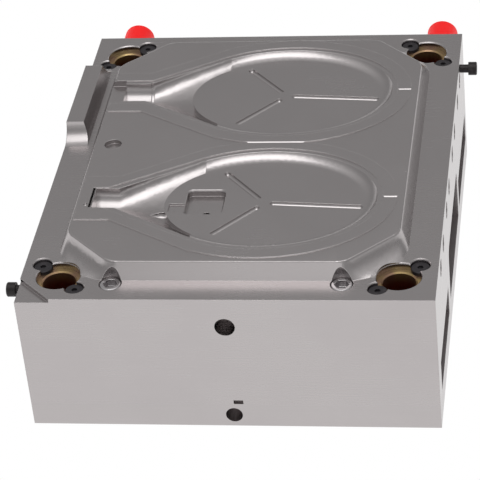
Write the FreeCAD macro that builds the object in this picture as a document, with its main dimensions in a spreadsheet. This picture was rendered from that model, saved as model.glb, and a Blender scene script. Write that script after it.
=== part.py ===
"""Cavity half of a two-cavity injection mould for a racket frame.

The block stands on its clamping face: X to the right, Y to the rear, Z up,
origin at the centre of the clamping face. All sizes are in millimetres.
"""
import FreeCAD, Part
import math
import os

import Sketcher

# Driving sizes. Heights called depth or level count from the rim of the
# cavity plate, which is the low parting level round the raised plateau.
SIZES = {
    # plates
    "plate_width": 450,
    "plate_length": 550,
    "cavity_thickness": 140,
    "clamp_thickness": 30,
    # raised plateau that carries the two cavities
    "plateau_rise": 20,
    "plateau_half_width": 182,
    "plateau_half_length": 231,
    "plateau_corner_sum": 358,
    "plateau_draft": 25,
    "plateau_corner_round": 25,
    "plateau_edge_round": 2,
    "diagonal_foot_round": 28,
    "land_rise": 1,
    # heel that backs the side slide
    "heel_front": 48,
    "heel_rear": 176,
    "heel_top_width": 20.5,
    "heel_slope_run": 7,
    "heel_end_round": 25,
    "heel_root": 2,
    # racket cavities
    "front_racket_axis": -110.5,
    "rear_racket_axis": 114,
    "head_centre_x": 27.5,
    "head_half_length": 131,
    "head_half_width": 99,
    "ledge_width": 5.5,
    "ledge_depth": 1,
    "inner_flat_depth": 8,
    "head_wall_round": 17,
    "handle_radius": 19.5,
    "neck_start_x": -138,
    "neck_join_x": -47,
    "neck_depth": 18,
    "front_handle_end": -164,
    "front_ledge_start": -151,
    "front_handle_ledge": 0.8,
    "rear_handle_end": -168,
    "rear_ledge_start": -136,
    "rear_handle_ledge": 6,
    "core_joint_x": -137.5,
    "core_joint_width": 3.5,
    "core_joint_depth": 2,
    "handle_slot_gap": 1,
    "handle_slot_width": 2.6,
    "handle_slot_depth": 14,
    "dimple_x": -171,
    "dimple_y": -124,
    "dimple_radius": 2.5,
    "land_offset": 16,
    "land_handle_half": 43,
    "land_handle_end": -180,
    "land_handle_stop": -140,
    "land_neck_stop": -42,
    "land_neck_half": 103,
    # runners in the inner flats
    "runner_half_width": 3.6,
    "long_runner_angle": -4.4,
    "long_runner_start": 6,
    "long_runner_end": 110,
    "rear_runner_angle": 129.8,
    "rear_runner_start": 10,
    "rear_runner_end": 80,
    "side_runner_angle": 229.6,
    "side_runner_start": 9,
    "side_runner_end": 80,
    # small work on the plateau
    "slide_seat_depth": 8,
    "slide_seat_start": -202,
    "end_groove_start": 159,
    "end_groove_stop": 178,
    "fine_groove_width": 3,
    "fine_groove_depth": 0.8,
    "fine_groove_slope": 60,
    "middle_groove_y": 1,
    "middle_groove_start": -40,
    "middle_groove_stop": 144,
    "rest_recess_x": -161,
    "rest_recess_radius": 10,
    "rest_recess_depth": 6,
    # boss pocket and shut-off in the front racket
    "boss_left": -61,
    "boss_right": -19,
    "boss_front": -131,
    "boss_back": -85,
    "boss_depth": 8,
    "boss_corner_round": 6,
    "boss_mouth_bevel": 1.5,
    "boss_hole_radius": 4,
    "boss_hole_x": -37,
    "boss_hole_y": -121.5,
    "boss_hole_depth": 20,
    "gate_left": -79,
    "gate_right": -58,
    "gate_front": -127,
    "gate_back": -112,
    "gate_depth": 2,
    "bullet_tip_x": -102,
    "bullet_y": -119.5,
    "bullet_radius": 7,
    "bullet_nose_round": 38,
    # guide bushes, their screws and the sleeves between the plates
    "guide_x": 184,
    "guide_y": 231.5,
    "guide_bore_radius": 18,
    "bush_body_radius": 22,
    "bush_collar_radius": 24,
    "bush_collar_drop": 8,
    "bush_collar_height": 6,
    "bush_length": 96,
    "bush_mouth_bevel": 1.5,
    "sleeve_length": 44,
    "sleeve_engagement": 22,
    "fit_play": 0.05,
    "bush_screw_spread": 30,
    "bush_screw_head_radius": 10.2,
    "bush_screw_head_height": 4.5,
    "bush_screw_radius": 4,
    "bush_screw_socket": 6,
    "bush_screw_length": 18,
    "bush_screw_pocket_play": 0.3,
    "mouth_bevel": 1.2,
    # screws through the cavity plate into the clamping plate
    "plate_screw_x": 124.5,
    "plate_screw_y": 246,
    "plate_screw_head_radius": 12,
    "plate_screw_head_height": 16,
    "plate_screw_radius": 8,
    "plate_screw_socket": 14,
    "plate_screw_engagement": 20,
    "counterbore_play": 0.75,
    # screws from the clamping face
    "clamp_screw_x": 150,
    "clamp_screw_y": 165,
    "clamp_screw_head_sink": 17,
    "clamp_screw_engagement": 28,
    # transport strap screws in the side faces
    "strap_screw_depth": 14,
    "strap_screw_radius": 5,
    "strap_screw_head_radius": 8,
    "strap_screw_head_height": 10,
    "strap_screw_socket": 8,
    "strap_screw_engagement": 12,
    "left_strap_y": -238,
    "left_strap_gap": 6,
    "right_strap_y": 216,
    "right_strap_gap": 10,
    # standing feet on the rear face
    "foot_radius": 18.7,
    "foot_length": 60,
    "foot_bevel": 3,
    "left_foot_x": -189,
    "right_foot_x": 196.5,
    "foot_depth": 33,
    "foot_screw_engagement": 14,
    "foot_bore_depth": 38,
    # cooling circuit
    "water_depth": 20,
    "water_radius": 5,
    "water_port_radius": 10,
    "water_port_depth": 12,
    "cross_channel_x": -148,
    "cross_plug_radius": 8,
    "cross_plug_length": 12,
    "cross_plug_socket": 8,
    "stop_plug_length": 10,
    # clamping slots and the connection pocket in the sides
    "slot_height": 37,
    "slot_cut": 16,
    "front_slot_start": -247,
    "front_slot_stop": -106,
    "rear_slot_start": 105,
    "rear_slot_stop": 257,
    "side_pocket_start": -81,
    "side_pocket_stop": 88,
    "side_pocket_height": 65,
    "side_pocket_cut": 34,
    "side_pocket_round": 12,
    # lifting holes and the pry slot in the front face
    "lift_hole_depth_down": 36,
    "lift_hole_radius": 11,
    "lift_hole_length": 45,
    "guide_vent_radius": 5,
    "clamp_lift_radius": 9.25,
    "clamp_lift_length": 32,
    "pry_slot_x": 6,
    "pry_slot_width": 10.6,
    "pry_slot_height": 5,
    "pry_slot_cut": 8,
    "pry_corner_leg": 38,
    "pry_corner_depth": 4.6,
    # locating ring on the clamping face
    "ring_spigot_radius": 62.5,
    "ring_seat_radius": 65,
    "ring_bore_radius": 30,
    "ring_height": 16,
    "ring_sink": 8,
    "ring_screw_circle": 46,
    "ring_screw_radius": 4,
    "ring_screw_head_radius": 6.5,
    "ring_screw_head_height": 8,
    "ring_screw_socket": 6,
    "head_cover": 0.5,
    "ring_screw_engagement": 12,
}

# Circuit pairs of water ports, as places along the side face.
WATER_PAIRS = {
    "first": (198, 150),
    "second": (84, 36),
    "third": (-31, -78),
    "fourth": (-142, -188),
}


class Size:
    """A number together with the sheet expression that gives it."""

    def __init__(self, value, text):
        self.value = float(value)
        self.text = text

    def __add__(self, other):
        other = as_size(other)
        return Size(self.value + other.value, f"({self.text} + {other.text})")

    def __radd__(self, other):
        return as_size(other) + self

    def __sub__(self, other):
        other = as_size(other)
        return Size(self.value - other.value, f"({self.text} - {other.text})")

    def __rsub__(self, other):
        return as_size(other) - self

    def __mul__(self, other):
        other = as_size(other)
        return Size(self.value * other.value, f"({self.text} * {other.text})")

    def __rmul__(self, other):
        return as_size(other) * self

    def __truediv__(self, other):
        other = as_size(other)
        return Size(self.value / other.value, f"({self.text} / {other.text})")

    def __neg__(self):
        return 0 - self


def as_size(thing):
    """Give a plain number the form of a Size."""
    if isinstance(thing, Size):
        return thing
    return Size(thing, f"{thing}")


def tangent(angle):
    """Tangent of an angle in degrees."""
    return Size(math.tan(math.radians(angle.value)), f"tan({angle.text})")


def root(thing):
    """Square root."""
    return Size(math.sqrt(thing.value), f"sqrt({thing.text})")


doc = FreeCAD.newDocument("CavityHalf")
sheet = doc.addObject("Spreadsheet::Sheet", "Sizes")


def fill_sheet():
    """Write every driving size into the sheet under its own alias."""
    row = 0
    for name, number in SIZES.items():
        row += 1
        sheet.set(f"A{row}", name)
        sheet.set(f"B{row}", str(number))
        sheet.setAlias(f"B{row}", name)
    for pair, places in WATER_PAIRS.items():
        for end, place in zip(("rear", "front"), places):
            row += 1
            name = f"water_{pair}_{end}"
            sheet.set(f"A{row}", name)
            sheet.set(f"B{row}", str(place))
            sheet.setAlias(f"B{row}", name)
    doc.recompute()


fill_sheet()


def size(name):
    """The sheet's value under an alias."""
    return Size(getattr(sheet, name), f"Sizes.{name}")


def bind(thing, name, amount):
    """Set a property to a size and tie it to the sheet."""
    amount = as_size(amount)
    if name.count("."):
        thing.setExpression(name, amount.text)
        return
    setattr(thing, name, amount.value)
    thing.setExpression(name, amount.text)


class Outline:
    """A sketch on one of a body's own planes, held by sizes from the sheet."""

    def __init__(self, body, name, plane="XY_Plane", lift=0):
        self.sketch = body.newObject("Sketcher::SketchObject", name)
        for feature in body.Origin.OriginFeatures:
            if feature.Role == plane:
                self.sketch.AttachmentSupport = [(feature, "")]
        self.sketch.MapMode = "FlatFace"
        lift = as_size(lift)
        offset = FreeCAD.Placement(FreeCAD.Vector(0, 0, lift.value), FreeCAD.Rotation())
        self.sketch.AttachmentOffset = offset
        self.sketch.setExpression("AttachmentOffset.Base.z", lift.text)
        self.count = 0

    def turn(self, x, y, angle):
        """Move the sketch's origin to x, y in its plane and turn it by an angle."""
        base = self.sketch.AttachmentOffset.Base
        base.x = x.value
        base.y = y.value
        spin = FreeCAD.Rotation(FreeCAD.Vector(0, 0, 1), angle.value)
        self.sketch.AttachmentOffset = FreeCAD.Placement(base, spin)
        self.sketch.setExpression("AttachmentOffset.Base.x", x.text)
        self.sketch.setExpression("AttachmentOffset.Base.y", y.text)
        self.sketch.setExpression("AttachmentOffset.Rotation.Angle", angle.text)

    def hold(self, amount, kind, *where):
        """Add one measured constraint tied to the sheet."""
        amount = as_size(amount)
        index = self.sketch.addConstraint(Sketcher.Constraint(kind, *where, amount.value))
        self.count += 1
        name = f"held_{self.count}"
        self.sketch.renameConstraint(index, name)
        self.sketch.setExpression(f"Constraints.{name}", amount.text)

    def pin(self, geometry, point, x, y):
        """Hold a point of the geometry at x, y."""
        self.hold(x, "DistanceX", -1, 1, geometry, point)
        self.hold(y, "DistanceY", -1, 1, geometry, point)

    def path(self, points):
        """Closed outline through points.

        A point is (x, y), or (x, y, radius, side) where an arc of that radius
        runs from it to the next point, with its centre on the left for side 1
        and on the right for side -1.
        """
        first = self.sketch.GeometryCount
        spots = []
        for point in points:
            spots.append(FreeCAD.Vector(as_size(point[0]).value, as_size(point[1]).value, 0))
        ends = []
        for number, point in enumerate(points):
            start = spots[number]
            stop = spots[(number + 1) % len(points)]
            if len(point) == 2:
                self.sketch.addGeometry(Part.LineSegment(start, stop))
                ends.append((1, 2))
                continue
            radius = as_size(point[2]).value
            side = point[3]
            chord = stop - start
            rise = math.sqrt(max(radius**2 - chord.Length**2 / 4, 0))
            left = FreeCAD.Vector(-chord.y, chord.x, 0).normalize()
            centre = (start + stop) * 0.5 + left * rise * side
            circle = Part.Circle(centre, FreeCAD.Vector(0, 0, 1), radius)
            low, high = (start, stop) if side > 0 else (stop, start)
            angles = [math.atan2(spot.y - centre.y, spot.x - centre.x) for spot in (low, high)]
            if angles[1] < angles[0]:
                angles[1] += 2 * math.pi
            index = self.sketch.addGeometry(Part.ArcOfCircle(circle, *angles))
            self.hold(point[2], "Radius", index)
            ends.append((1, 2) if side > 0 else (2, 1))
        total = len(points)
        for number in range(total):
            after = (number + 1) % total
            link = (first + number, ends[number][1], first + after, ends[after][0])
            self.sketch.addConstraint(Sketcher.Constraint("Coincident", *link))
        for number, point in enumerate(points):
            self.pin(first + number, ends[number][0], point[0], point[1])
        return self

    def rectangle(self, left, right, low, high):
        """Rectangle between four sizes."""
        return self.path([(left, low), (right, low), (right, high), (left, high)])

    def circle(self, x, y, radius):
        """Circle about x, y."""
        centre = FreeCAD.Vector(as_size(x).value, as_size(y).value, 0)
        up = FreeCAD.Vector(0, 0, 1)
        index = self.sketch.addGeometry(Part.Circle(centre, up, as_size(radius).value))
        self.pin(index, 3, x, y)
        self.hold(radius, "Radius", index)
        return self

    def ellipse(self, x, y, half_width, half_height):
        """Ellipse about x, y that is wider than it is high."""
        centre = FreeCAD.Vector(as_size(x).value, as_size(y).value, 0)
        major = centre + FreeCAD.Vector(half_width.value, 0, 0)
        minor = centre + FreeCAD.Vector(0, half_height.value, 0)
        index = self.sketch.addGeometry(Part.Ellipse(major, minor, centre))
        self.sketch.exposeInternalGeometry(index)
        self.sketch.addConstraint(Sketcher.Constraint("Horizontal", index + 1))
        self.pin(index, 3, x, y)
        self.hold(2 * half_width, "Distance", index + 1)
        self.hold(2 * half_height, "Distance", index + 2)
        return self


def new_body(label):
    """A body whose label names its file."""
    body = doc.addObject("PartDesign::Body", label)
    body.Label = label
    return body


def add_feature(body, kind, name):
    """New feature of a body; faces are left split, which keeps each step quick."""
    feature = body.newObject(f"PartDesign::{kind}", name)
    feature.Refine = False
    return feature


def pad(outline, name, length, reverse=False, taper=None):
    """Grow an outline along its normal."""
    body = outline.sketch.getParentGeoFeatureGroup()
    feature = add_feature(body, "Pad", name)
    feature.Profile = outline.sketch
    feature.Reversed = reverse
    bind(feature, "Length", length)
    if taper is not None:
        bind(feature, "TaperAngle", taper)
    outline.sketch.Visibility = False
    return feature


def pocket(outline, name, length=None, reverse=False, taper=None):
    """Cut an outline against its normal, right through where no length is given."""
    body = outline.sketch.getParentGeoFeatureGroup()
    feature = add_feature(body, "Pocket", name)
    feature.Profile = outline.sketch
    feature.Reversed = reverse
    if length is None:
        feature.Type = "ThroughAll"
    else:
        bind(feature, "Length", length)
    if taper is not None:
        bind(feature, "TaperAngle", taper)
    return feature


def loft(body, kind, name, sketches, ruled):
    """Skin through sketches, in straight lines from one to the next where ruled."""
    feature = add_feature(body, f"{kind}Loft", name)
    feature.Profile = sketches[0]
    feature.Sections = sketches[1:]
    feature.Ruled = ruled
    return feature


def spin(kind, outline, name, axis="V_Axis"):
    """Revolution or groove of an outline about one of its own axes."""
    body = outline.sketch.getParentGeoFeatureGroup()
    feature = add_feature(body, kind, name)
    feature.Profile = outline.sketch
    feature.ReferenceAxis = (outline.sketch, [axis])
    feature.Angle = 360
    return feature


def edge_names(shape, wanted):
    """Names of the edges for which wanted gives true."""
    names = []
    for number, edge in enumerate(shape.Edges, start=1):
        if wanted(edge):
            names.append(f"Edge{number}")
    return names


def fillet(base, name, wanted, radius):
    """Round the wanted edges of a feature."""
    doc.recompute()
    body = base.getParentGeoFeatureGroup()
    feature = add_feature(body, "Fillet", name)
    feature.Base = (base, edge_names(base.Shape, wanted))
    bind(feature, "Radius", radius)
    return feature


def near(number, target):
    """True where two plain numbers agree to a hundredth."""
    return abs(number - target) < 0.01


def four_spots(name):
    """Places in the four quarters: front left, front right, rear left, rear right."""
    x = size(f"{name}_x")
    y = size(f"{name}_y")
    return [(side * x, end * y) for end in (-1, 1) for side in (-1, 1)]


half_width = size("plate_width") / 2
half_length = size("plate_length") / 2
cavity_thickness = size("cavity_thickness")
clamp_thickness = size("clamp_thickness")
rim_height = cavity_thickness + clamp_thickness
plateau_top = size("plateau_rise")
field_top = plateau_top - size("land_rise")
guide_spots = four_spots("guide")
plate_screw_spots = four_spots("plate_screw")
clamp_screw_spots = four_spots("clamp_screw")
CORNER_NAMES = ("front_left", "front_right", "rear_left", "rear_right")
water_places = [
    size(f"water_{pair}_{end}") for pair in WATER_PAIRS for end in ("rear", "front")
]


def bush_screw_spots(corner):
    """The two screws beside a bush, on the line across the plate's diagonal."""
    x, y = guide_spots[corner]
    reach = size("bush_screw_spread") / root(as_size(2))
    same_sign = corner in (0, 3)
    across = -1 if same_sign else 1
    return [(x - reach, y - across * reach), (x + reach, y + across * reach)]


def lift_to_rim(body):
    """Put a body drawn from the rim level at its height in the block."""
    body.Placement.Base.z = rim_height.value
    body.setExpression("Placement.Base.z", rim_height.text)


def build_block(body):
    """The plate itself and its raised plateau with the sweeping foot."""
    block = Outline(body, "BlockOutline")
    block.rectangle(-half_width, half_width, -half_length, half_length)
    pad(block, "Block", cavity_thickness, reverse=True)

    run = size("plateau_rise") * tangent(size("plateau_draft"))
    wide = size("plateau_half_width") + run
    long = size("plateau_half_length") + run
    corner = size("plateau_corner_sum") + run * root(as_size(2))
    foot = Outline(body, "PlateauFoot").path(
        [
            (corner - long, -long),
            (wide, wide - corner),
            (wide, corner - wide),
            (corner - long, long),
            (long - corner, long),
            (-wide, corner - wide),
            (-wide, wide - corner),
            (long - corner, -long),
        ]
    )
    plateau = pad(foot, "Plateau", field_top, taper=-size("plateau_draft"))

    def diagonal_foot(edge):
        box = edge.BoundBox
        return near(box.ZMax, 0) and near(box.ZMin, 0) and box.XLength > 1 and box.YLength > 1

    def slanted(edge):
        heights = [point.Point.z for point in edge.Vertexes]
        return near(max(heights), field_top.value) and min(heights) < field_top.value - 1

    def at_top(edge):
        box = edge.BoundBox
        return near(box.ZMax, field_top.value) and near(box.ZMin, field_top.value)

    swept = fillet(plateau, "DiagonalSweeps", diagonal_foot, size("diagonal_foot_round"))
    rounded = fillet(swept, "PlateauCorners", slanted, size("plateau_corner_round"))
    fillet(rounded, "PlateauBrow", at_top, size("plateau_edge_round"))


def build_heel(body):
    """The heel at the left edge, drawn by itself and joined to the plate."""
    heel = doc.addObject("PartDesign::Body", "HeelShape")
    top_width = size("heel_top_width")
    foot_width = top_width + size("heel_slope_run")
    root_depth = size("heel_root")
    radius = size("heel_end_round")
    drop = radius - plateau_top
    reach = root(radius * radius - drop * drop)
    section = Outline(heel, "HeelSection", "XZ_Plane", reach - size("heel_front"))
    section.path(
        [
            (-half_width, -root_depth),
            (-half_width + foot_width, -root_depth),
            (-half_width + top_width, plateau_top),
            (-half_width, plateau_top),
        ]
    )
    length = size("heel_rear") - size("heel_front") + 2 * reach
    pad(section, "HeelBar", length, reverse=True)
    ends = Outline(heel, "HeelEnds", "YZ_Plane", -half_width)
    ends.circle(size("heel_front") - reach, radius, radius)
    ends.circle(size("heel_rear") + reach, radius, radius)
    pocket(ends, "HeelEndSweeps", 2 * foot_width, reverse=True)
    doc.recompute()
    join = add_feature(body, "Boolean", "HeelJoin")
    join.Type = "Fuse"
    join.setObjects([heel])
    return join


def head_half_at(x, inset=0):
    """Half-width of the head's outline, moved in by inset, at a place along the racket."""
    share = (x - size("head_centre_x")) / (size("head_half_length") - inset)
    return (size("head_half_width") - inset) * root(1 - share * share)


def head_wall_run():
    """How far the head's concave wall reaches inwards before it meets the flat."""
    radius = size("head_wall_round")
    straight = radius - (size("inner_flat_depth") - size("ledge_depth"))
    return root(radius * radius - straight * straight)


def head_outline(body, name, axis, lift, inset):
    """Ellipse of the head, moved in by inset."""
    outline = Outline(body, name, lift=lift)
    long = size("head_half_length") - inset
    wide = size("head_half_width") - inset
    return outline.ellipse(size("head_centre_x"), axis, long, wide)


def build_lands(body, name, axis):
    """Raised shut-off lands round the head, the neck and the handle."""
    land = head_outline(body, f"{name}HeadLandOutline", axis, field_top, -size("land_offset"))
    pad(land, f"{name}HeadLand", size("land_rise"))
    neck = size("land_neck_half")
    handle = size("land_handle_half")
    land = Outline(body, f"{name}NeckLandOutline", lift=field_top).path(
        [
            (size("land_handle_end"), axis - handle),
            (size("land_handle_stop"), axis - handle),
            (size("land_neck_stop"), axis - neck),
            (size("land_neck_stop"), axis + neck),
            (size("land_handle_stop"), axis + handle),
            (size("land_handle_end"), axis + handle),
        ]
    )
    pad(land, f"{name}NeckLand", size("land_rise"))


def build_ledge(body, name, axis, handle_end, start, handle_ledge):
    """Shallow step that runs round the whole racket just inside the lands."""
    depth = size("ledge_depth")
    outline = head_outline(body, f"{name}HeadLedgeOutline", axis, plateau_top, 0)
    pocket(outline, f"{name}HeadLedge", depth)
    join = size("neck_join_x")
    join_half = head_half_at(join)
    half = size("handle_radius") + handle_ledge
    outline = Outline(body, f"{name}NeckLedgeOutline", lift=plateau_top).path(
        [
            (handle_end - handle_ledge, axis - half),
            (start, axis - half),
            (join, axis - join_half),
            (join, axis + join_half),
            (start, axis + half),
            (handle_end - handle_ledge, axis + half),
        ]
    )
    pocket(outline, f"{name}NeckLedge", depth)


def build_head_dish(body, name, axis):
    """Head recess: its wall is an arc that runs out on the flat."""
    radius = size("head_wall_round")
    flat = plateau_top - size("inner_flat_depth")
    run = head_wall_run()
    levels = 4
    sketches = []
    for number in range(levels, -1, -1):
        along = run * number / levels
        height = flat + radius - root(radius * radius - along * along)
        inset = size("ledge_width") + run - along
        section = head_outline(body, f"{name}DishSection{number}", axis, height, inset)
        sketches.append(section.sketch)
    loft(body, "Subtractive", f"{name}HeadDish", sketches, ruled=False)


def build_neck_bowl(body, name, axis, handle_end):
    """Half-round handle that widens into the neck, spared where the flat stands."""
    shape = doc.addObject("PartDesign::Body", f"{name}NeckShape")
    radius = size("handle_radius")
    ledge = size("ledge_width")
    join = size("neck_join_x")
    places = [
        (handle_end, radius, radius),
        (size("neck_start_x"), radius, radius),
        (join, head_half_at(join, ledge), size("neck_depth")),
    ]
    sketches = []
    for number, (place_x, half, depth) in enumerate(places, start=1):
        section = Outline(shape, f"{name}NeckSection{number}", "YZ_Plane", place_x)
        section.ellipse(axis, plateau_top, half, depth)
        sketches.append(section.sketch)
    loft(shape, "Additive", f"{name}NeckLoft", sketches, ruled=True)
    above = 2 * plateau_top
    spared = head_outline(shape, f"{name}Spared", axis, above, ledge + head_wall_run())
    pocket(spared, f"{name}SparedFlat")
    doc.recompute()
    bowl = add_feature(body, "Boolean", f"{name}NeckBowl")
    bowl.Type = "Cut"
    bowl.setObjects([shape])


def build_runners(body, name, axis):
    """Half-round runners with round ends in the flat of a head."""
    flat = plateau_top - size("inner_flat_depth")
    half = size("runner_half_width")
    for runner in ("long", "rear", "side"):
        low = size(f"{runner}_runner_start")
        high = size(f"{runner}_runner_end")
        outline = Outline(body, f"{name}{runner.title()}RunnerOutline", lift=flat)
        outline.turn(size("head_centre_x"), axis, size(f"{runner}_runner_angle"))
        outline.path(
            [(low, 0), (high, 0, half, 1), (high - half, half), (low + half, half, half, 1)]
        )
        spin("Groove", outline, f"{name}{runner.title()}Runner", "H_Axis")


def cut_fine_groove(body, name, low, high, y):
    """Fine sighting groove with sloping walls along X."""
    half = size("fine_groove_width") / 2
    outline = Outline(body, f"{name}Outline", lift=plateau_top)
    outline.rectangle(low, high, y - half, y + half)
    pocket(outline, name, size("fine_groove_depth"), taper=-size("fine_groove_slope"))


def build_racket(body, name, axis):
    """One racket cavity: lands, ledge, dished head, neck bowl and runners."""
    side = name.lower()
    handle_end = size(f"{side}_handle_end")
    start = size(f"{side}_ledge_start")
    build_lands(body, name, axis)
    build_ledge(body, name, axis, handle_end, start, size(f"{side}_handle_ledge"))
    build_head_dish(body, name, axis)
    build_neck_bowl(body, name, axis, handle_end)
    build_runners(body, name, axis)
    cut_fine_groove(body, f"{name}EndGroove", size("end_groove_start"), size("end_groove_stop"), axis)


def build_handle_details(body):
    """Slide seat and core joint of the rear handle, end slot of the front one."""
    axis = size("rear_racket_axis")
    seat = size("handle_radius") + size("rear_handle_ledge")
    outline = Outline(body, "SlideSeatOutline", lift=plateau_top)
    outline.rectangle(size("slide_seat_start"), size("rear_handle_end"), axis - seat, axis + seat)
    pocket(outline, "SlideSeat", size("slide_seat_depth"))
    outline = Outline(body, "CoreJointOutline", lift=plateau_top)
    outline.turn(size("core_joint_x"), axis, as_size(0))
    radius = size("handle_radius") + size("core_joint_depth")
    outline.rectangle(0, size("core_joint_width"), 0, radius)
    spin("Groove", outline, "CoreJoint", "H_Axis")

    axis = size("front_racket_axis")
    half = size("handle_radius")
    right = size("front_handle_end") - size("handle_slot_gap")
    outline = Outline(body, "HandleSlotOutline", lift=plateau_top)
    outline.rectangle(right - size("handle_slot_width"), right, axis - half, axis + half)
    pocket(outline, "HandleSlot", size("handle_slot_depth"))
    outline = Outline(body, "DimpleOutline", lift=plateau_top)
    outline.turn(size("dimple_x"), size("dimple_y"), as_size(0))
    radius = size("dimple_radius")
    outline.path([(-radius, 0), (radius, 0, radius, 1), (0, radius, radius, 1)])
    spin("Groove", outline, "Dimple", "H_Axis")


def build_plateau_details(body):
    """Grooves, recesses and the boss pocket that are cut once."""
    middle = size("middle_groove_y")
    start = size("middle_groove_start")
    cut_fine_groove(body, "MiddleGroove", start, size("middle_groove_stop"), middle)

    outline = Outline(body, "RestRecessOutline", lift=plateau_top)
    outline.circle(size("rest_recess_x"), 0, size("rest_recess_radius"))
    pocket(outline, "RestRecess", size("rest_recess_depth"))


def rounded_rectangle(outline, left, right, low, high, bend):
    """Rectangle between four sizes with round corners."""
    return outline.path(
        [
            (left + bend, low),
            (right - bend, low, bend, 1),
            (right, low + bend),
            (right, high - bend, bend, 1),
            (right - bend, high),
            (left + bend, high, bend, 1),
            (left, high - bend),
            (left, low + bend, bend, 1),
        ]
    )


def build_boss_and_gate(body):
    """Boss pocket with its pin hole, and the gate that leads from neck to flat."""
    flat = plateau_top - size("inner_flat_depth")
    bend = size("boss_corner_round")
    sides = [size(f"boss_{side}") for side in ("left", "right", "front", "back")]
    outline = Outline(body, "BossPocketOutline", lift=flat)
    rounded_rectangle(outline, *sides, bend)
    pocket(outline, "BossPocket", size("boss_depth"))
    bevel = size("boss_mouth_bevel")
    left, right, front, back = sides
    wider = (left - bevel, right + bevel, front - bevel, back + bevel)
    outline = Outline(body, "BossMouthOutline", lift=flat)
    rounded_rectangle(outline, *wider, bend + bevel)
    pocket(outline, "BossMouth", bevel, taper=-45)
    outline = Outline(body, "BossHoleOutline", lift=flat)
    outline.circle(size("boss_hole_x"), size("boss_hole_y"), size("boss_hole_radius"))
    pocket(outline, "BossHole", size("boss_hole_depth"))

    outline = Outline(body, "GatePocketOutline", lift=flat)
    sides = [size(f"gate_{side}") for side in ("left", "right", "front", "back")]
    outline.rectangle(*sides)
    pocket(outline, "GatePocket", size("gate_depth"))
    radius = size("bullet_radius")
    tip = size("bullet_tip_x")
    length = size("gate_left") - tip
    floor = plateau_top - size("neck_depth")
    outline = Outline(body, "GateBulletOutline", lift=floor)
    outline.turn(tip, size("bullet_y"), as_size(0))
    outline.path([(0, 0), (length, 0), (length, radius, size("bullet_nose_round"), 1)])
    spin("Groove", outline, "GateBullet", "H_Axis")


def build_bush_seats(body):
    """Stepped bores for the guide bushes and pockets for their screws."""
    play = size("fit_play")
    bevel = size("mouth_bevel")
    collar = Outline(body, "BushCollarSeats", lift=plateau_top)
    collar_mouths = Outline(body, "BushCollarMouths")
    head_mouths = Outline(body, "BushScrewMouths")
    bores = Outline(body, "BushBores", lift=plateau_top)
    heads = Outline(body, "BushScrewPockets", lift=plateau_top)
    threads = Outline(body, "BushScrewThreads", lift=plateau_top)
    for corner, (x, y) in enumerate(guide_spots):
        collar_radius = size("bush_collar_radius") + 2 * play
        collar.circle(x, y, collar_radius)
        collar_mouths.circle(x, y, collar_radius + bevel)
        bores.circle(x, y, size("bush_body_radius") + play)
        for screw_x, screw_y in bush_screw_spots(corner):
            head_radius = size("bush_screw_head_radius") + size("bush_screw_pocket_play")
            heads.circle(screw_x, screw_y, head_radius)
            head_mouths.circle(screw_x, screw_y, head_radius + bevel)
            threads.circle(screw_x, screw_y, size("bush_screw_radius") + play)
    drop = size("bush_collar_drop")
    pocket(collar, "CollarSeats", plateau_top + drop + size("bush_collar_height"))
    pocket(heads, "ScrewPockets", plateau_top + drop)
    pocket(bores, "Bores")
    pocket(threads, "ScrewThreads", plateau_top + drop + size("bush_screw_length"))
    pocket(collar_mouths, "CollarMouths", bevel, taper=-45)
    pocket(head_mouths, "ScrewPocketMouths", bevel, taper=-45)


def build_plate_screw_holes(body):
    """Counterbored holes for the screws that reach into the clamping plate."""
    heads = Outline(body, "PlateScrewHeads", lift=plateau_top)
    shanks = Outline(body, "PlateScrewShanks", lift=plateau_top)
    for x, y in plate_screw_spots:
        heads.circle(x, y, size("plate_screw_head_radius") + size("counterbore_play") / 2)
        shanks.circle(x, y, size("plate_screw_radius") + size("counterbore_play"))
    pocket(heads, "PlateScrewSeats", plateau_top + size("plate_screw_head_height"))
    pocket(shanks, "PlateScrewHoles")
    threads = Outline(body, "ClampScrewThreads", lift=-cavity_thickness)
    for x, y in clamp_screw_spots:
        threads.circle(x, y, size("plate_screw_radius") + size("fit_play"))
    pocket(threads, "ClampScrewHoles", size("clamp_screw_engagement"), reverse=True)


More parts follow.
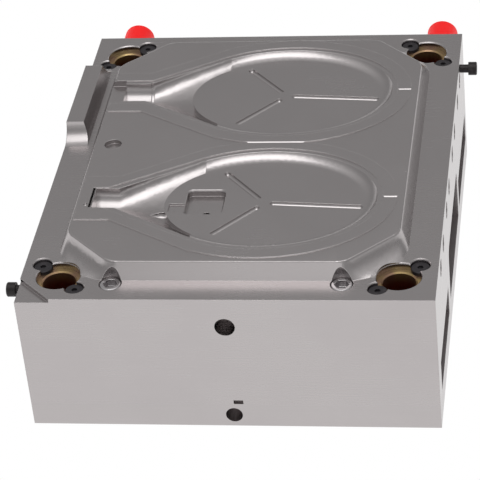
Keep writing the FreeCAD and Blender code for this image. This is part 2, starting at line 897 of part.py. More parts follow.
def build_side_work(body):
    """Water circuit, clamping slots, strap holes and the connection pocket."""
    level = -size("water_depth")
    ports = Outline(body, "WaterPorts", "YZ_Plane", half_width)
    channels = Outline(body, "WaterChannels", "YZ_Plane", half_width)
    for place in water_places:
        ports.circle(place, level, size("water_port_radius"))
        channels.circle(place, level, size("water_radius"))
    pocket(ports, "PortCounterbores", size("water_port_depth"))
    pocket(channels, "Channels", half_width - size("cross_channel_x") + size("water_radius"))
    cross = Outline(body, "CrossChannel", "XZ_Plane", -half_length)
    cross.circle(size("cross_channel_x"), level, size("water_radius"))
    last = water_places[-1]
    pocket(cross, "CrossDrilling", half_length - last + size("water_radius"), reverse=True)
    seat = Outline(body, "CrossPlugSeat", "XZ_Plane", -half_length)
    seat.circle(size("cross_channel_x"), level, size("cross_plug_radius") + size("fit_play"))
    pocket(seat, "CrossPlugHole", size("cross_plug_length"), reverse=True)

    floor = -cavity_thickness
    for side, lift, back in (("Right", half_width, False), ("Left", -half_width, True)):
        slots = Outline(body, f"{side}SlotOutlines", "YZ_Plane", lift)
        for end in ("front", "rear"):
            low = size(f"{end}_slot_start")
            high = size(f"{end}_slot_stop")
            slots.rectangle(low, high, floor, floor + size("slot_height"))
        pocket(slots, f"{side}ClampSlots", size("slot_cut"), reverse=back)
    bend = size("side_pocket_round")
    top = floor + size("side_pocket_height")
    low = size("side_pocket_start")
    high = size("side_pocket_stop")
    outline = Outline(body, "SidePocketOutline", "YZ_Plane", half_width).path(
        [
            (low, floor),
            (high, floor),
            (high, top - bend, bend, 1),
            (high - bend, top),
            (low + bend, top, bend, 1),
            (low, top - bend),
        ]
    )
    pocket(outline, "SidePocket", size("side_pocket_cut"))

    reach = size("strap_screw_engagement")
    for side, lift, back in (("right", half_width, False), ("left", -half_width, True)):
        hole = Outline(body, f"{side.title()}StrapHoleOutline", "YZ_Plane", lift)
        radius = size("strap_screw_radius") + size("fit_play")
        hole.circle(size(f"{side}_strap_y"), -size("strap_screw_depth"), radius)
        pocket(hole, f"{side.title()}StrapHole", reach, reverse=back)


def build_end_work(body):
    """Lifting hole and pry slots in the front, threads for the feet in the rear."""
    hole = Outline(body, "LiftHoleOutline", "XZ_Plane", half_length)
    hole.circle(0, -size("lift_hole_depth_down"), size("lift_hole_radius"))
    pocket(hole, "LiftHole", size("lift_hole_length"))
    slot = Outline(body, "PrySlotOutline", "XZ_Plane", half_length)
    half = size("pry_slot_width") / 2
    place = size("pry_slot_x")
    floor = -cavity_thickness
    slot.rectangle(place - half, place + half, floor, floor + size("pry_slot_height"))
    pocket(slot, "PrySlot", size("pry_slot_cut"))
    feet = Outline(body, "FootThreads", "XZ_Plane", -half_length)
    for side in ("left", "right"):
        radius = size("strap_screw_radius") + size("fit_play")
        feet.circle(size(f"{side}_foot_x"), -size("foot_depth"), radius)
    pocket(feet, "FootHoles", size("foot_screw_engagement"), reverse=True)
    leg = size("pry_corner_leg")
    corner = Outline(body, "PryCornerOutline", lift=0).path(
        [
            (-half_width, -half_length),
            (-half_width + leg, -half_length),
            (-half_width, -half_length + leg),
        ]
    )
    return pocket(corner, "PryCorner", size("pry_corner_depth"))


def build_cavity_plate():
    """The plate that carries both racket cavities."""
    body = new_body("cavity_plate")
    build_block(body)
    build_heel(body)
    build_bush_seats(body)
    build_plate_screw_holes(body)
    build_side_work(body)
    build_end_work(body)
    build_racket(body, "Front", size("front_racket_axis"))
    build_racket(body, "Rear", size("rear_racket_axis"))
    build_handle_details(body)
    build_plateau_details(body)
    build_boss_and_gate(body)
    lift_to_rim(body)
    return body


def build_clamp_plate():
    """The plate that the machine's clamps hold."""
    body = new_body("clamp_plate")
    outline = Outline(body, "PlateOutline")
    outline.rectangle(-half_width, half_width, -half_length, half_length)
    pad(outline, "Plate", clamp_thickness)
    play = size("fit_play")
    sleeves = Outline(body, "SleeveSeats", lift=clamp_thickness)
    for x, y in guide_spots:
        sleeves.circle(x, y, size("bush_body_radius") + play)
    pocket(sleeves, "SleeveBores", size("sleeve_engagement"))
    vents = Outline(body, "GuideVents", lift=clamp_thickness)
    for x, y in guide_spots:
        vents.circle(x, y, size("guide_vent_radius"))
    pocket(vents, "GuideVentHoles")
    threads = Outline(body, "PlateScrewThreads", lift=clamp_thickness)
    for x, y in plate_screw_spots:
        threads.circle(x, y, size("plate_screw_radius") + play)
    pocket(threads, "TappedHoles", size("plate_screw_engagement"))
    shanks = Outline(body, "ClampScrewShanks", lift=clamp_thickness)
    heads = Outline(body, "ClampScrewHeads")
    for x, y in clamp_screw_spots:
        shanks.circle(x, y, size("plate_screw_radius") + size("counterbore_play"))
        heads.circle(x, y, size("plate_screw_head_radius") + size("counterbore_play") / 2)
    pocket(shanks, "ClearanceHoles")
    pocket(heads, "ClampScrewSeats", size("clamp_screw_head_sink"), reverse=True)
    ring = Outline(body, "RingSeatOutline")
    ring.circle(0, 0, size("ring_seat_radius") + play)
    pocket(ring, "RingSeat", size("ring_sink"), reverse=True)
    threads = Outline(body, "RingScrewThreads")
    for x, y in ring_screw_spots():
        threads.circle(x, y, size("ring_screw_radius") + play)
    pocket(threads, "RingScrewHoles", size("ring_sink") + size("ring_screw_engagement"), reverse=True)
    lift = Outline(body, "ClampLiftOutline", "XZ_Plane", half_length)
    lift.circle(0, clamp_thickness / 2, size("clamp_lift_radius"))
    pocket(lift, "ClampLiftHole", size("clamp_lift_length"))
    return body


def ring_screw_spots():
    """Places of the locating ring's screws."""
    reach = size("ring_screw_circle") / root(as_size(2))
    return [(side * reach, end * reach) for end in (-1, 1) for side in (-1, 1)]


def build_guide_bush(corner):
    """Collared bush with a bevelled mouth."""
    x, y = guide_spots[corner]
    body = new_body(f"guide_bush_{CORNER_NAMES[corner]}")
    bore = size("guide_bore_radius")
    outer = size("bush_body_radius")
    collar = size("bush_collar_radius")
    bevel = size("bush_mouth_bevel")
    under = -size("bush_collar_height")
    low = -size("bush_length")
    outline = Outline(body, "BushSection", "XZ_Plane").path(
        [
            (bore, low),
            (outer - bevel, low),
            (outer, low + bevel),
            (outer, under),
            (collar, under),
            (collar, 0),
            (bore + bevel, 0),
            (bore, -bevel),
        ]
    )
    spin("Revolution", outline, "Bush")
    place(body, x, y, rim_height - size("bush_collar_drop"))
    return body


def build_sleeve(corner):
    """Plain sleeve that lines the two plates up behind a guide bush."""
    x, y = guide_spots[corner]
    body = new_body(f"centring_sleeve_{CORNER_NAMES[corner]}")
    bevel = size("bush_mouth_bevel")
    outer = size("bush_body_radius")
    bore = size("guide_bore_radius")
    length = size("sleeve_length")
    outline = Outline(body, "SleeveSection", "XZ_Plane").path(
        [
            (bore, 0),
            (outer - bevel, 0),
            (outer, bevel),
            (outer, length - bevel),
            (outer - bevel, length),
            (bore, length),
        ]
    )
    spin("Revolution", outline, "Sleeve")
    place(body, x, y, clamp_thickness - size("sleeve_engagement"))
    return body


def place(body, x, y, height, axis=(0, 0, 1), angle=0):
    """Turn a body about an axis and put it at x, y and a height tied to the sheet."""
    spot = [as_size(amount) for amount in (x, y, height)]
    turn = FreeCAD.Rotation(FreeCAD.Vector(*axis), angle)
    body.Placement = FreeCAD.Placement(FreeCAD.Vector(*[amount.value for amount in spot]), turn)
    for name, amount in zip("xyz", spot):
        body.setExpression(f"Placement.Base.{name}", amount.text)


# Turns that bring a piece drawn upright to face another way.
TURNS = {
    "up": ((0, 0, 1), 0),
    "down": ((1, 0, 0), 180),
    "left": ((0, 1, 0), -90),
    "right": ((0, 1, 0), 90),
    "rear": ((1, 0, 0), -90),
}


def socket_outline(body, across_flats, lift):
    """Hexagon whose flats are the given width apart."""
    half = across_flats / 2
    corner = across_flats / root(as_size(3))
    return Outline(body, "SocketOutline", lift=lift).path(
        [
            (corner, 0),
            (corner / 2, half),
            (-corner / 2, half),
            (-corner, 0),
            (-corner / 2, -half),
            (corner / 2, -half),
        ]
    )


def socket_screw(label, kind, length, spot, facing="up"):
    """Socket screw whose seat is at the spot and whose head faces the given way.

    kind names the sizes in the sheet: head radius and height, shank radius
    and the width of the hexagon socket.
    """
    head_radius = size(f"{kind}_head_radius")
    head_height = size(f"{kind}_head_height")
    shank_radius = size(f"{kind}_radius")
    bevel = shank_radius / 6
    body = new_body(label)
    outline = Outline(body, "ScrewSection", "XZ_Plane").path(
        [
            (0, -length),
            (shank_radius - bevel, -length),
            (shank_radius, bevel - length),
            (shank_radius, 0),
            (head_radius, 0),
            (head_radius, head_height - bevel),
            (head_radius - bevel, head_height),
            (0, head_height),
        ]
    )
    spin("Revolution", outline, "ScrewForm")
    pocket(socket_outline(body, size(f"{kind}_socket"), head_height), "Socket", head_height / 2)
    place(body, *spot, *TURNS[facing])
    return body


def group(label, bodies):
    """One node for several like pieces."""
    node = doc.addObject("Part::Compound", label)
    node.Label = label
    node.Links = bodies
    return node


def build_screws():
    """All screws, each seated on the face that its head presses on."""
    nodes = []
    seat = rim_height - size("bush_collar_drop")
    for corner, name in enumerate(CORNER_NAMES):
        pair = []
        for number, spot in enumerate(bush_screw_spots(corner), start=1):
            label = f"bush_screw_{name}_{number}"
            pair.append(socket_screw(label, "bush_screw", size("bush_screw_length"), (*spot, seat)))
        nodes.append(group(f"bush_screws_{name}", pair))

    seat = rim_height - size("plate_screw_head_height")
    length = seat - clamp_thickness + size("plate_screw_engagement")
    for name, spot in zip(CORNER_NAMES, plate_screw_spots):
        nodes.append(socket_screw(f"plate_screw_{name}", "plate_screw", length, (*spot, seat)))

    seat = size("clamp_screw_head_sink")
    length = clamp_thickness - seat + size("clamp_screw_engagement")
    four = []
    for name, spot in zip(CORNER_NAMES, clamp_screw_spots):
        four.append(socket_screw(f"clamp_screw_{name}", "plate_screw", length, (*spot, seat), "down"))
    nodes.append(group("clamp_screws", four))

    height = rim_height - size("strap_screw_depth")
    for side, sign in (("left", -1), ("right", 1)):
        gap = size(f"{side}_strap_gap")
        length = gap + size("strap_screw_engagement")
        spot = (sign * (half_width + gap), size(f"{side}_strap_y"), height)
        nodes.append(socket_screw(f"strap_screw_{side}", "strap_screw", length, spot, side))

    seat = size("foot_length") - size("foot_bore_depth")
    length = seat + size("foot_screw_engagement")
    for side in ("left", "right"):
        spot = (size(f"{side}_foot_x"), half_length + seat, rim_height - size("foot_depth"))
        nodes.append(socket_screw(f"foot_screw_{side}", "strap_screw", length, spot, "rear"))

    seat = ring_screw_seat()
    length = size("ring_sink") - seat + size("ring_screw_engagement")
    four = []
    for name, spot in zip(CORNER_NAMES, ring_screw_spots()):
        four.append(socket_screw(f"ring_screw_{name}", "ring_screw", length, (*spot, seat), "down"))
    nodes.append(group("ring_screws", four))
    return nodes


def ring_screw_seat():
    """Height at which the ring's screw heads press on it."""
    outer_face = size("ring_sink") - size("ring_height")
    return outer_face + size("ring_screw_head_height") + size("head_cover")


def build_foot(side):
    """Round standing foot with bevelled ends, bored for its screw."""
    body = new_body(f"foot_{side}")
    radius = size("foot_radius")
    length = size("foot_length")
    bevel = size("foot_bevel")
    play = size("counterbore_play") / 2
    shank = size("strap_screw_radius") + play
    head = size("strap_screw_head_radius") + play
    seat = length - size("foot_bore_depth")
    outline = Outline(body, "FootSection", "XZ_Plane").path(
        [
            (shank, 0),
            (radius - bevel, 0),
            (radius, bevel),
            (radius, length - bevel),
            (radius - bevel, length),
            (head, length),
            (head, seat),
            (shank, seat),
        ]
    )
    spin("Revolution", outline, "Foot")
    spot = (size(f"{side}_foot_x"), half_length, rim_height - size("foot_depth"))
    place(body, *spot, *TURNS["rear"])
    return body


def build_locating_ring():
    """Ring that centres the mould on the machine, let into the clamping face."""
    body = new_body("locating_ring")
    seat = size("ring_seat_radius")
    outer = size("ring_spigot_radius")
    bore = size("ring_bore_radius")
    bevel = size("bush_mouth_bevel")
    low = size("ring_sink") - size("ring_height")
    high = size("ring_sink")
    outline = Outline(body, "RingSection", "XZ_Plane").path(
        [
            (bore + bevel, low),
            (outer - bevel, low),
            (outer, low + bevel),
            (outer, 0),
            (seat, 0),
            (seat, high),
            (bore, high),
            (bore, low + bevel),
        ]
    )
    spin("Revolution", outline, "Ring")
    heads = Outline(body, "RingScrewSeats", lift=ring_screw_seat())
    shanks = Outline(body, "RingScrewShanks", lift=high)
    for x, y in ring_screw_spots():
        heads.circle(x, y, size("ring_screw_head_radius") + size("counterbore_play") / 2)
        shanks.circle(x, y, size("ring_screw_radius") + size("counterbore_play") / 2)
    pocket(heads, "RingScrewHeads")
    pocket(shanks, "RingScrewHoles")
    return body


def build_plugs():
    """Plug that closes the cross channel and the stops that part the circuits."""
    plug = new_body("cross_plug")
    outline = Outline(plug, "PlugOutline").circle(0, 0, size("cross_plug_radius"))
    length = size("cross_plug_length")
    pad(outline, "Plug", length)
    pocket(socket_outline(plug, size("cross_plug_socket"), length), "PlugSocket", length / 2)
    height = rim_height - size("water_depth")
    place(plug, size("cross_channel_x"), half_length - length, height, *TURNS["rear"])

    stops = []
    for number in range(1, len(water_places) - 1, 2):
        stop = new_body(f"circuit_stop_{number // 2 + 1}")
        radius = size("water_radius") - size("fit_play")
        outline = Outline(stop, "StopOutline").circle(0, 0, radius)
        pad(outline, "Stop", size("stop_plug_length"))
        middle = (water_places[number] + water_places[number + 1]) / 2
        spot = (size("cross_channel_x"), middle - size("stop_plug_length") / 2, height)
        place(stop, *spot, *TURNS["rear"])
        stops.append(stop)
    return [plug, group("circuit_stops", stops)]


def check_everything():
    """Stop with a plain message where an object failed or a cut cut nothing."""
    for thing in doc.Objects:
        if "Invalid" in thing.State or "Error" in thing.State:
            raise RuntimeError(f"{thing.Name} failed: {thing.State}")
    for thing in doc.Objects:
        if thing.TypeId != "PartDesign::Body":
            continue
        before = 0
        for feature in thing.Group:
            if not feature.isDerivedFrom("PartDesign::Feature") or feature.TypeId == "PartDesign::Body":
                continue
            volume = feature.Shape.Volume
            if abs(volume - before) < 0.01:
                raise RuntimeError(f"{feature.Name} in {thing.Label} changes nothing")
            grows = any(word in feature.TypeId for word in ("Pad", "Revolution", "Additive"))
            cuts = any(word in feature.TypeId for word in ("Pocket", "Groove", "Subtractive"))
            if (grows and volume < before) or (cuts and volume > before):
                raise RuntimeError(f"{feature.Name} in {thing.Label} works the wrong way")
            before = volume


def write_parts(nodes):
    """Write each node's solids to its own file."""
    os.makedirs("parts", exist_ok=True)
    for node in nodes:
        shape = node.Shape
        if shape.isNull() or not shape.isValid() or not shape.Solids:
            raise RuntimeError(f"{node.Label} has no valid solid")
        shape.exportStep(f"parts/{node.Label}.step")


nodes = [build_cavity_plate(), build_clamp_plate()]
for corner in range(len(CORNER_NAMES)):
    nodes.append(build_guide_bush(corner))
    nodes.append(build_sleeve(corner))
nodes.extend(build_screws())
for side in ("left", "right"):
    nodes.append(build_foot(side))
nodes.append(build_locating_ring())
nodes.extend(build_plugs())
doc.recompute()
check_everything()
write_parts(nodes)
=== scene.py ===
"""Looks of the injection mould half: finishes, studio and camera."""
import math

import bmesh
import bpy
import numpy as np
from mathutils import Matrix, Vector


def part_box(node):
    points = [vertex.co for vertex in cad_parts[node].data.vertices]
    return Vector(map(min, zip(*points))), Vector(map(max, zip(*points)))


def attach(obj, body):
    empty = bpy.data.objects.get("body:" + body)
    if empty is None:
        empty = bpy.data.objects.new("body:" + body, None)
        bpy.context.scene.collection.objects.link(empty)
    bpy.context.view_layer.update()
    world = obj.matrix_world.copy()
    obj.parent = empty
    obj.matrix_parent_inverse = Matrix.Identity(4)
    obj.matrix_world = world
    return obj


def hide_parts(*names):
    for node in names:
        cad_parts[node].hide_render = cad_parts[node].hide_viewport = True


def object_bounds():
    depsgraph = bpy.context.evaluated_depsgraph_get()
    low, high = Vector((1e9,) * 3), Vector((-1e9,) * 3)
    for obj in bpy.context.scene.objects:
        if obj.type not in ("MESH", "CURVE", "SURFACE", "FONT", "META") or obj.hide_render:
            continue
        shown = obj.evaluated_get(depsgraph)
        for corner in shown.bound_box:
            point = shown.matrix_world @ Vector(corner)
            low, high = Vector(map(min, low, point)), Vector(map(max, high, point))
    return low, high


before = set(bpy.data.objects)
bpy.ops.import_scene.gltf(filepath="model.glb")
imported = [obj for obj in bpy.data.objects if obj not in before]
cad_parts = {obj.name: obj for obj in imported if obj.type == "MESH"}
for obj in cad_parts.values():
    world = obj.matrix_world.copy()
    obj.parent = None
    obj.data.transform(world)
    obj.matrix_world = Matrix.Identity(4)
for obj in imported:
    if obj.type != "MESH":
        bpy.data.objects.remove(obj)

MM = 0.001
cad_low, cad_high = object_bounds()
plate_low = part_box("cavity_plate")[0]
FLOOR = cad_low.z
PLATE_HEIGHT = 140 * MM
RIM = plate_low.z + PLATE_HEIGHT
POLISH_START = RIM + 0.5 * MM
POLISH_FADE = 2 * MM
SEAM_EDGES_END = FLOOR + 60 * MM
BROKEN_EDGES_START = FLOOR + 80 * MM
BROKEN_EDGE = 0.9 * MM
BORE_SHADE_START = 9 * MM
BORE_SHADE_END = 26 * MM


class Wire:
    """A number socket in a node tree. Each operator on it adds one Math node."""

    def __init__(self, recipe, socket):
        self.recipe = recipe
        self.socket = socket

    def maths(self, operation, *inputs):
        """One Math node with the given operation on these numbers or sockets."""
        return self.recipe.node("ShaderNodeMath", {"operation": operation}, dict(enumerate(inputs)))

    def __add__(self, other):
        return self.maths("ADD", self, other)

    def __radd__(self, other):
        return self.maths("ADD", other, self)

    def __sub__(self, other):
        return self.maths("SUBTRACT", self, other)

    def __rsub__(self, other):
        return self.maths("SUBTRACT", other, self)

    def __mul__(self, other):
        return self.maths("MULTIPLY", self, other)

    def __rmul__(self, other):
        return self.maths("MULTIPLY", other, self)

    def __abs__(self):
        return self.maths("ABSOLUTE", self)

    def between(self, low, high):
        """0 at low, 1 at high, with an S-shaped rise between them."""
        return self.recipe.node(
            "ShaderNodeMapRange",
            {"interpolation_type": "SMOOTHSTEP"},
            {"Value": self, "From Min": low, "From Max": high},
        )


class Recipe:
    """A material or world under construction."""

    def __init__(self, owner):
        owner.use_nodes = True
        self.owner = owner
        self.tree = owner.node_tree
        self.tree.nodes.clear()

    def node(self, kind, settings=None, inputs=None, output=0):
        """Adds a node of this type, sets its settings, then its sockets, and gives one output.

        A ramp's stops are the setting "stops", pairs of a place and a colour.
        """
        made = self.tree.nodes.new(kind)
        for name, value in (settings or {}).items():
            if name == "stops":
                self.fill_ramp(made.color_ramp, value)
            else:
                setattr(made, name, value)
        for name, value in (inputs or {}).items():
            self.feed(made.inputs[name], value)
        return Wire(self, made.outputs[output]) if made.outputs else None

    @staticmethod
    def fill_ramp(ramp, stops):
        """Gives a colour ramp these stops."""
        while len(ramp.elements) < len(stops):
            ramp.elements.new(1)
        for element, (place, colour) in zip(ramp.elements, stops):
            element.position = place
            element.color = (*colour, 1)

    def feed(self, socket, value):
        """Links a wire to a socket, or writes a constant on it."""
        if isinstance(value, Wire):
            self.tree.links.new(value.socket, socket)
        elif isinstance(value, tuple) and socket.type == "RGBA":
            socket.default_value = (*value, 1)
        else:
            socket.default_value = value

    def place(self, stretch=(1, 1, 1)):
        """Object coordinates in metres, stretched by these factors."""
        spot = self.node("ShaderNodeTexCoord", output="Object")
        return self.node("ShaderNodeVectorMath", {"operation": "MULTIPLY"}, {0: spot, 1: stretch})

    def height(self):
        """The Z of Object coordinates, in metres."""
        return self.node("ShaderNodeSeparateXYZ", inputs={0: self.place()}, output="Z")

    def noise(self, stretch, detail=3, roughness=0.5):
        """Noise from 0 to 1 whose grains are one over the stretch in metres."""
        sockets = {"Vector": self.place(stretch), "Scale": 1, "Detail": detail, "Roughness": roughness}
        return self.node("ShaderNodeTexNoise", inputs=sockets, output="Fac")

    def mix(self, amount, first, second):
        """The first colour at 0, the second at 1."""
        made = self.tree.nodes.new("ShaderNodeMix")
        made.data_type = "RGBA"
        self.feed(made.inputs["Factor"], amount)
        self.feed(made.inputs[6], first)
        self.feed(made.inputs[7], second)
        return Wire(self, made.outputs[2])

    def bump(self, height, depth, broken_edge=None):
        """A normal from a height between 0 and 1 that stands for this depth in metres.

        Where broken_edge is given, edges look rounded to that radius, as a file leaves them.
        """
        sockets = {"Strength": 1, "Distance": depth, "Height": height}
        if broken_edge is not None:
            sockets["Normal"] = self.node("ShaderNodeBevel", {"samples": 8}, {"Radius": broken_edge})
        return self.node("ShaderNodeBump", inputs=sockets)

    def finish(self, **sockets):
        """Ends the recipe in a Principled shader with these sockets, underscores read as blanks."""
        inputs = {name.replace("_", " "): value for name, value in sockets.items()}
        shader = self.node("ShaderNodeBsdfPrincipled", inputs=inputs)
        self.node("ShaderNodeOutputMaterial", inputs={"Surface": shader})
        return self.owner


def srgb(code):
    """The linear colour of a six-digit code such as 7a787b."""
    parts = [int(code[i:i + 2], 16) / 255 for i in (0, 2, 4)]
    return tuple(c / 12.92 if c <= 0.04045 else ((c + 0.055) / 1.055) ** 2.4 for c in parts)


def ground_steel(name, tone, roughness, polish_from=None):
    """Ground tool steel: faint grinding lines along X, and along Y on faces that look along X.

    Above the height polish_from the lines fade into the finer marks of a polished cavity. The
    edges look broken, apart from those at the seam of the two plates.
    """
    recipe = Recipe(bpy.data.materials.new(name))
    normal = recipe.node("ShaderNodeNewGeometry", output="Normal")
    facing_x = abs(recipe.node("ShaderNodeSeparateXYZ", inputs={0: normal}, output="X")).between(0.6, 0.8)
    lines_x = recipe.noise((14, 900, 900), detail=1)
    lines_y = recipe.noise((900, 14, 900), detail=2)
    lines = lines_x * (1 - facing_x) + lines_y * facing_x
    clouds = recipe.noise((9, 9, 9), detail=4, roughness=0.6)
    marks = lines
    if polish_from is not None:
        polished = recipe.height().between(polish_from, polish_from + POLISH_FADE)
        marks = lines * (1 - 0.7 * polished) + 0.35 * polished
    dark = tuple(0.97 * c for c in tone)
    light = tuple(1.03 * c for c in tone)
    shade = (0.75 * clouds + 0.25 * marks).between(0.2, 0.8)
    above_seam = recipe.height().between(SEAM_EDGES_END, BROKEN_EDGES_START)
    return recipe.finish(
        Base_Color=recipe.mix(shade, dark, light),
        Metallic=1.0,
        Roughness=roughness + 0.02 * (clouds - 0.5) + 0.02 * (marks - 0.5),
        Normal=recipe.bump(marks, 0.0004 * MM, broken_edge=BROKEN_EDGE * above_seam),
    )


def black_oxide(name, tone):
    """Blackened screw steel with rubbed, lighter patches."""
    recipe = Recipe(bpy.data.materials.new(name))
    rubbed = recipe.noise((160, 160, 160), detail=5, roughness=0.65).between(0.45, 0.75)
    grain = recipe.noise((1500, 1500, 1500), detail=2)
    return recipe.finish(
        Base_Color=recipe.mix(rubbed * 0.5, tone, tuple(2.1 * c for c in tone)),
        Metallic=0.55,
        Roughness=0.46 - 0.1 * rubbed,
        Normal=recipe.bump(grain, 0.02 * MM),
    )


def bush_bronze(name):
    """Guide bronze: turned rings and stains on the collar, and painted shade that makes the bore darker
    and redder deeper below the rim.
    """
    recipe = Recipe(bpy.data.materials.new(name))
    # Painted shade: down the bore the colour fades from the collar's bronze to a darker, redder brown
    # with depth below the rim.
    depth = (RIM - recipe.height()).between(BORE_SHADE_START, BORE_SHADE_END)
    rings = recipe.noise((40, 40, 1600), detail=2)
    stain = recipe.noise((55, 55, 55), detail=4)
    collar = recipe.mix(stain.between(0.35, 0.65), srgb("bfa674"), srgb("ae8c74"))
    return recipe.finish(
        Base_Color=recipe.mix(depth, collar, srgb("9a4630")),
        Metallic=0.9,
        Roughness=0.34 + 0.12 * (stain - 0.5),
        Normal=recipe.bump(rings, 0.006 * MM),
    )


def red_enamel(name):
    """Signal red enamel with a slight orange-peel surface and a faint painted glow of its own."""
    recipe = Recipe(bpy.data.materials.new(name))
    peel = recipe.noise((260, 260, 260), detail=2)
    dust = recipe.noise((30, 30, 30), detail=5, roughness=0.7)
    return recipe.finish(
        Base_Color=recipe.mix(dust.between(0.3, 0.8), srgb("ff1b1b"), srgb("f41619")),
        Roughness=0.5,
        Specular_IOR_Level=0.25,
        # Painted light: a faint red emission that brightens the enamel, though the feet are no lamp.
        Emission_Color=srgb("ff2020"),
        Emission_Strength=0.18,
        Normal=recipe.bump(peel, 0.05 * MM),
    )


def plug_brass(name):
    """Turned brass with a thin tarnish."""
    recipe = Recipe(bpy.data.materials.new(name))
    tarnish = recipe.noise((120, 120, 120), detail=5, roughness=0.6)
    return recipe.finish(
        Base_Color=recipe.mix(tarnish.between(0.4, 0.7), srgb("b9944e"), srgb("8a6a3a")),
        Metallic=1.0,
        Roughness=0.35 + 0.15 * (tarnish - 0.5),
    )


STEEL = ground_steel("cavity_plate_steel", srgb("b9b4b4"), 0.27, polish_from=POLISH_START)
CLAMP_STEEL = ground_steel("clamp_plate_steel", srgb("b9b4b4"), 0.30)
SLEEVE_STEEL = ground_steel("sleeve_steel", srgb("a9a7a8"), 0.25)
BRIGHT_SCREW = ground_steel("bright_screw_steel", srgb("c9c6c7"), 0.22)
BLACK_SCREW = black_oxide("black_oxide", srgb("3a373a"))
STRAP_SCREW = black_oxide("strap_screw_black", srgb("2b2828"))
BRONZE = bush_bronze("guide_bronze")
RED = red_enamel("red_enamel")
BRASS = plug_brass("plug_brass")


def link(mesh, name):
    """Puts a mesh into the scene as an object at the origin."""
    piece = bpy.data.objects.new(name, mesh)
    bpy.context.scene.collection.objects.link(piece)
    return piece


MERGE_REACH = 0.002 * MM


def dressed(node, material, crease=30):
    """A merged copy of a CAD node, smooth except over edges sharper than crease degrees.

    The copy stands for the node: its points are the node's own points.
    """
    mesh = bpy.data.meshes.new(node + "_dressed")
    work = bmesh.new()
    work.from_mesh(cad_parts[node].data)
    bmesh.ops.remove_doubles(work, verts=work.verts, dist=MERGE_REACH)
    for face in work.faces:
        face.smooth = True
        face.material_index = 0
    work.to_mesh(mesh)
    work.free()
    mesh.attributes.remove(mesh.attributes["custom_normal"])
    mesh.materials.clear()
    mesh.materials.append(material)
    mesh.set_sharp_from_angle(angle=math.radians(crease))
    piece = link(mesh, node + "_dressed")
    weigh = piece.modifiers.new("flat faces stay flat", "WEIGHTED_NORMAL")
    weigh.keep_sharp = True
    weigh.mode = "FACE_AREA"
    weigh.weight = 90
    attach(piece, "root")
    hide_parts(node)
    return piece


CORNERS = ("front_left", "front_right", "rear_left", "rear_right")


def dress_the_mould():
    """Gives each CAD node its finish."""
    dressed("cavity_plate", STEEL, crease=24)
    dressed("clamp_plate", CLAMP_STEEL)
    for corner in CORNERS:
        dressed("guide_bush_" + corner, BRONZE)
        dressed("centring_sleeve_" + corner, SLEEVE_STEEL)
        dressed("bush_screws_" + corner, BLACK_SCREW)
        dressed("plate_screw_" + corner, BRIGHT_SCREW)
    for side in ("left", "right"):
        dressed("strap_screw_" + side, STRAP_SCREW)
        dressed("foot_screw_" + side, BRIGHT_SCREW)
        dressed("foot_" + side, RED)
    dressed("clamp_screws", BLACK_SCREW)
    dressed("ring_screws", BLACK_SCREW)
    dressed("locating_ring", CLAMP_STEEL)
    dressed("cross_plug", BRASS)
    dressed("circuit_stops", BRASS)


FLOOR_REACH = 30.0
FLOOR_SIDES = 96


def studio_floor():
    """A round pale floor that is white to the eye and in reflections, and a grey diffuse paint to other
    light.
    """
    mesh = bpy.data.meshes.new("studio_floor")
    turn = np.linspace(0, 2 * math.pi, FLOOR_SIDES, endpoint=False)
    points = np.stack([FLOOR_REACH * np.cos(turn), FLOOR_REACH * np.sin(turn), 0 * turn + FLOOR], 1)
    mesh.from_pydata(points.tolist(), [], [list(range(len(turn)))])
    floor = link(mesh, "studio_floor")
    recipe = Recipe(bpy.data.materials.new("studio_floor"))
    seen = recipe.node("ShaderNodeLightPath", output="Is Camera Ray")
    glossy = recipe.node("ShaderNodeLightPath", output="Is Glossy Ray")
    through = recipe.node("ShaderNodeLightPath", output="Is Transmission Ray")
    white = (seen + glossy + through).maths("MINIMUM", seen + glossy + through, 1)
    paint = recipe.node("ShaderNodeBsdfDiffuse", inputs={"Color": (0.85, 0.85, 0.85)})
    glow = recipe.node("ShaderNodeEmission", inputs={"Color": (1, 1, 1), "Strength": 1})
    both = recipe.node("ShaderNodeMixShader", inputs={0: white, 1: paint, 2: glow})
    recipe.node("ShaderNodeOutputMaterial", inputs={"Surface": both})
    mesh.materials.append(recipe.owner)


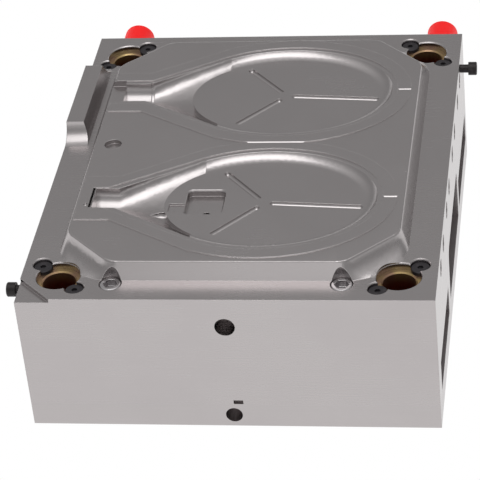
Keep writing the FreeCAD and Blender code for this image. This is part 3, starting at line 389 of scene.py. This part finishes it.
def studio_world():
    """A plain studio round the mould: pale up to the horizon, grey above it and lighter overhead."""
    world = bpy.data.worlds.new("studio")
    bpy.context.scene.world = world
    recipe = Recipe(world)
    direction = recipe.node("ShaderNodeTexCoord", output="Generated")
    lift = recipe.node("ShaderNodeSeparateXYZ", inputs={0: direction}, output="Z")
    greys = ((0.0, 0.95), (0.10, 0.95), (0.22, 0.30), (0.60, 0.38), (1.0, 0.8))
    stops = [(place, (grey, grey, grey)) for place, grey in greys]
    sky = recipe.node("ShaderNodeValToRGB", {"stops": stops}, {"Fac": lift})
    light = recipe.node("ShaderNodeBackground", inputs={"Color": sky, "Strength": 1})
    recipe.node("ShaderNodeOutputWorld", inputs={"Surface": light})


def softbox(name, spot, target, width, depth, radiance):
    """A rectangular lamp aimed at the target; its power follows from the radiance of its face."""
    lamp = bpy.data.lights.new(name, "AREA")
    lamp.shape = "RECTANGLE"
    lamp.size = width
    lamp.size_y = depth
    lamp.energy = radiance * math.pi * width * depth
    light = bpy.data.objects.new(name, lamp)
    bpy.context.scene.collection.objects.link(light)
    aim = Vector(target) - Vector(spot)
    light.matrix_world = Matrix.Translation(spot) @ aim.to_track_quat("-Z", "Y").to_matrix().to_4x4()
    light.visible_camera = False


EYE = (0.4078, -2.2920, 1.6577)
EYE_TURN = 10.70
EYE_DIP = 34.496
EYE_TILT = 6.112
SENSOR_WIDTH = 36
FOCAL_LENGTH = 180.94
SIGHT_END = 100


def camera():
    """The photograph's view: a long lens in front of the mould, a little to its right and above.

    It is turned about the upright, dipped below the horizon, then tilted about its own line of
    sight, each in degrees.
    """
    lens = bpy.data.cameras.new("photograph")
    lens.sensor_width = SENSOR_WIDTH
    lens.lens = FOCAL_LENGTH
    lens.clip_end = SIGHT_END
    eye = bpy.data.objects.new("photograph", lens)
    bpy.context.scene.collection.objects.link(eye)
    turn = Matrix.Rotation(math.radians(EYE_TURN), 4, "Z")
    dip = Matrix.Rotation(math.radians(90 - EYE_DIP), 4, "X")
    tilt = Matrix.Rotation(math.radians(-EYE_TILT), 4, "Z")
    eye.matrix_world = Matrix.Translation(EYE) @ turn @ dip @ tilt
    bpy.context.scene.camera = eye


dress_the_mould()
studio_floor()
studio_world()
softbox("overhead_softbox", (0, -0.37, 2.6), (0, -0.37, 0), 1.7, 1.9, 1.7)
softbox("front_softbox", (0.3, -3.4, 1.3), (0, 0, 0.15), 2.4, 1.2, 0.6)
camera()
bpy.context.scene.view_settings.view_transform = "Standard"
